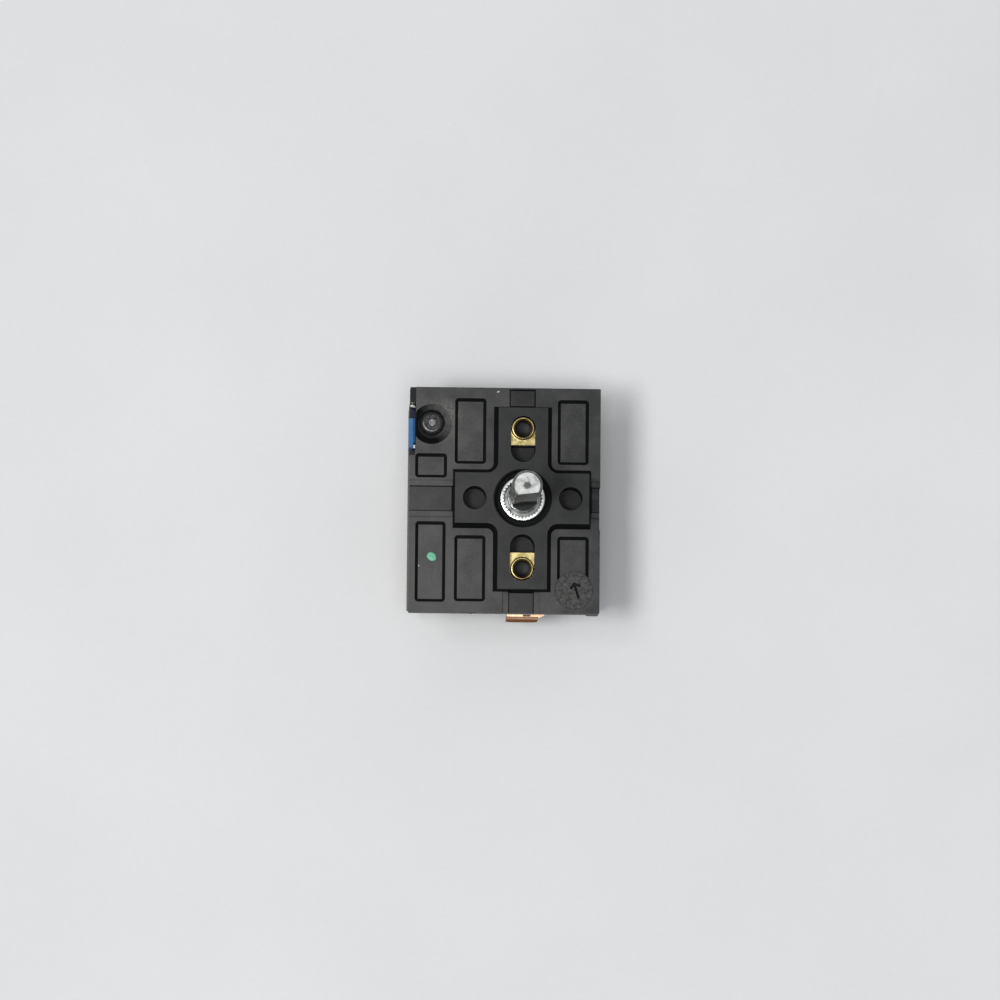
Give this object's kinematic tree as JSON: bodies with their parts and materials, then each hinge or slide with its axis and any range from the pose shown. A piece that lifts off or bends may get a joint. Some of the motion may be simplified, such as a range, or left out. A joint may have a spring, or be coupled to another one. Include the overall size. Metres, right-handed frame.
{
  "type": "infinite switch",
  "caption": "Energy-regulating rotary switch for a cooker hob: black moulded case with a D-flat shaft, brass mounting nuts and rear blade terminals.",
  "frame": {"origin": "on the shaft axis in the plane of the raised mounting face", "axes": "+Z out along the shaft, +Y along the line through the mounting screws, +X to the right seen from the front"},
  "size_m": [0.0382, 0.0454, 0.059],
  "materials": {
    "thermoset": "matte, matt skin on the front, smoother on the drafted walls",
    "blue_plastic": "satin",
    "brass": "satin, slightly tarnished",
    "zinc_steel": "turned, zinc plated",
    "plated_steel": "plated, rolled",
    "spring_steel": "bright hardened strip and wire",
    "blued_steel": "blued, bright cut ends",
    "copper": "copper strip, lightly tarnished",
    "bronze": "phosphor bronze strip",
    "silver_contact": "silver faced",
    "cam_plastic": "satin",
    "ceramic": "unglazed",
    "bimetal": "rolled two-layer strip",
    "heater_wire": "oxidised resistance wire",
    "seal": "gloss"
  },
  "bodies": {
    "housing": {"front_housing": "thermoset", "rear_housing": "thermoset", "mount_nuts": "brass", "housing_screws": "plated_steel", "line_1_terminal": "brass", "line_2_terminal": "brass", "heater_1_terminal": "brass", "heater_2_terminal": "brass", "pilot_terminal": "copper", "fixed_contacts": "silver_contact", "fulcrum_block": "blue_plastic", "block_clip": "blued_steel", "pivot_pin": "plated_steel", "calibration_screw": "plated_steel", "calibration_seal": "seal"},
    "cam": {"cam_disc": "cam_plastic", "shaft_sleeve": "plated_steel", "return_spring": "spring_steel"},
    "shaft": {"shaft": "zinc_steel", "retaining_rings": "plated_steel"},
    "lever": {"control_lever": "plated_steel"},
    "bimetal": {"bimetal_strip": "bimetal", "heater_plate": "ceramic", "heater_winding": "heater_wire", "heater_clip": "spring_steel", "push_stud": "ceramic"},
    "snap": {"snap_spring": "bronze", "snap_rivet": "silver_contact"},
    "line_arm": {"line_spring": "bronze", "line_rivet": "silver_contact"},
    "pilot_arm": {"pilot_spring": "bronze", "pilot_rivet": "silver_contact"}
  },
  "joints": [
    {"name": "shaft_turn", "type": "hinge", "parent": "housing", "child": "cam", "pos_m": [0, 0, 0], "axis": [0, 0, -1], "range_deg": [0, 330]},
    {"name": "shaft_push", "type": "slide", "parent": "cam", "child": "shaft", "axis": [0, 0, -1], "range_m": [0, 0.0025], "stiffness_N_per_m": 1500, "springref_m": -0.0015, "deforming": ["return_spring"]},
    {"name": "lever_swing", "type": "hinge", "parent": "housing", "child": "lever", "pos_m": [-0.014, 0.0132, -0.011], "axis": [0, 0, -1], "range_deg": [0, 3.49]},
    {"name": "bimetal_bend", "type": "hinge", "parent": "lever", "child": "bimetal", "pos_m": [-0.0138, -0.0062, -0.011], "axis": [0, 0, 1], "range_deg": [0, 3], "stiffness_Nm_per_rad": 0.02},
    {"name": "snap_close", "type": "hinge", "parent": "housing", "child": "snap", "pos_m": [-0.0179, -0.00315, -0.011], "axis": [0, 0, -1], "range_deg": [0, 3.1], "stiffness_Nm_per_rad": 0.02},
    {"name": "line_arm_swing", "type": "hinge", "parent": "housing", "child": "line_arm", "pos_m": [0.0104, 0.0114, -0.011], "axis": [0, 0, -1], "range_deg": [0, 3.03]},
    {"name": "pilot_arm_swing", "type": "hinge", "parent": "housing", "child": "pilot_arm", "pos_m": [0.00714, -0.01054, -0.0142], "axis": [0, 0, 1], "range_deg": [0, 4.03]}
  ],
  "couplings": [
    {"joint": "lever_swing", "follows": "shaft_turn", "ratio": 0.010523},
    {"joint": "line_arm_swing", "follows": "shaft_turn", "ratio": 0.009138},
    {"joint": "pilot_arm_swing", "follows": "shaft_turn", "ratio": 0.012163}
  ]
}
